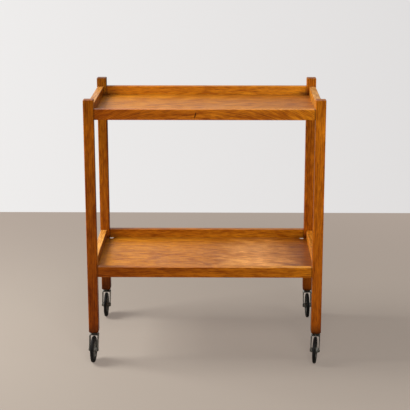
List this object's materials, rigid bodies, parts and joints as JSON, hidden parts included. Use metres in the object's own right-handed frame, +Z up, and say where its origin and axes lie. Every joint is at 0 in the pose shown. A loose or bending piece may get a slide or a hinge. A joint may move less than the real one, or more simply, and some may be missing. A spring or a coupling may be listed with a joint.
{
  "type": "two-tier tea trolley",
  "caption": "Wooden two-tier tea trolley with square legs, railed trays with veneered panels, and swivel casters.",
  "frame": {"origin": "on the floor, under the middle of the overall outline with the casters as they stand at rest", "axes": "+Z up, +X to the right seen from the front, +Y to the back; the wood frame's middle is 0.4 mm to +X and 14 mm to +Y of the origin, because the wheels trail to the front"},
  "size_m": [0.6522, 0.4504, 0.746],
  "materials": {
    "frame_wood": "satin oiled hardwood, orange brown",
    "tray_veneer": "satin veneer, lighter than the frame",
    "dowel_wood": "plain turned beech",
    "fork_steel": "pressed, zinc plated",
    "plated_steel": "bright plated",
    "wheel_grey": "grey, slightly worn",
    "tyre_rubber": "matt black rubber"
  },
  "bodies": {
    "frame": {"leg_front_left": "frame_wood", "leg_front_right": "frame_wood", "leg_back_left": "frame_wood", "leg_back_right": "frame_wood", "upper_panel": "tray_veneer", "upper_front_rail": "frame_wood", "upper_back_rail": "frame_wood", "upper_left_rail": "frame_wood", "upper_right_rail": "frame_wood", "upper_dowels": "dowel_wood", "upper_screws": "plated_steel", "lower_panel": "tray_veneer", "lower_front_rail": "frame_wood", "lower_back_rail": "frame_wood", "lower_left_rail": "frame_wood", "lower_right_rail": "frame_wood", "lower_dowels": "dowel_wood", "lower_screws": "plated_steel", "caster_front_left_socket": "plated_steel", "caster_front_right_socket": "plated_steel", "caster_back_left_socket": "plated_steel", "caster_back_right_socket": "plated_steel"},
    "swivel_front_left": {"caster_front_left_stem": "plated_steel", "caster_front_left_grip_ring": "plated_steel", "caster_front_left_washer": "plated_steel", "caster_front_left_fork": "fork_steel", "caster_front_left_axle": "plated_steel"},
    "wheel_front_left": {"caster_front_left_wheel_disc": "wheel_grey", "caster_front_left_tyre": "tyre_rubber"},
    "swivel_front_right": {"caster_front_right_stem": "plated_steel", "caster_front_right_grip_ring": "plated_steel", "caster_front_right_washer": "plated_steel", "caster_front_right_fork": "fork_steel", "caster_front_right_axle": "plated_steel"},
    "wheel_front_right": {"caster_front_right_wheel_disc": "wheel_grey", "caster_front_right_tyre": "tyre_rubber"},
    "swivel_back_left": {"caster_back_left_stem": "plated_steel", "caster_back_left_grip_ring": "plated_steel", "caster_back_left_washer": "plated_steel", "caster_back_left_fork": "fork_steel", "caster_back_left_axle": "plated_steel"},
    "wheel_back_left": {"caster_back_left_wheel_disc": "wheel_grey", "caster_back_left_tyre": "tyre_rubber"},
    "swivel_back_right": {"caster_back_right_stem": "plated_steel", "caster_back_right_grip_ring": "plated_steel", "caster_back_right_washer": "plated_steel", "caster_back_right_fork": "fork_steel", "caster_back_right_axle": "plated_steel"},
    "wheel_back_right": {"caster_back_right_wheel_disc": "wheel_grey", "caster_back_right_tyre": "tyre_rubber"}
  },
  "joints": [
    {"name": "swivel_front_left", "type": "hinge", "parent": "frame", "child": "swivel_front_left", "pos_m": [-0.31088, -0.1738, 0.0792], "axis": [0, 0, 1], "continuous": true},
    {"name": "roll_front_left", "type": "hinge", "parent": "swivel_front_left", "child": "wheel_front_left", "pos_m": [-0.31198, -0.18775, 0.0375], "axis": [0.9969, -0.0786, 0], "continuous": true},
    {"name": "swivel_front_right", "type": "hinge", "parent": "frame", "child": "swivel_front_right", "pos_m": [0.31162, -0.1738, 0.0792], "axis": [0, 0, 1], "continuous": true},
    {"name": "roll_front_right", "type": "hinge", "parent": "swivel_front_right", "child": "wheel_front_right", "pos_m": [0.30931, -0.1876, 0.0375], "axis": [0.9863, -0.165, 0], "continuous": true},
    {"name": "swivel_back_left", "type": "hinge", "parent": "frame", "child": "swivel_back_left", "pos_m": [-0.31088, 0.2017, 0.0792], "axis": [0, 0, 1], "continuous": true},
    {"name": "roll_back_left", "type": "hinge", "parent": "swivel_back_left", "child": "wheel_back_left", "pos_m": [-0.31125, 0.18771, 0.0375], "axis": [0.9997, -0.0264, 0], "continuous": true},
    {"name": "swivel_back_right", "type": "hinge", "parent": "frame", "child": "swivel_back_right", "pos_m": [0.31162, 0.2017, 0.0792], "axis": [0, 0, 1], "continuous": true},
    {"name": "roll_back_right", "type": "hinge", "parent": "swivel_back_right", "child": "wheel_back_right", "pos_m": [0.31211, 0.18771, 0.0375], "axis": [0.9994, 0.035, 0], "continuous": true}
  ]
}
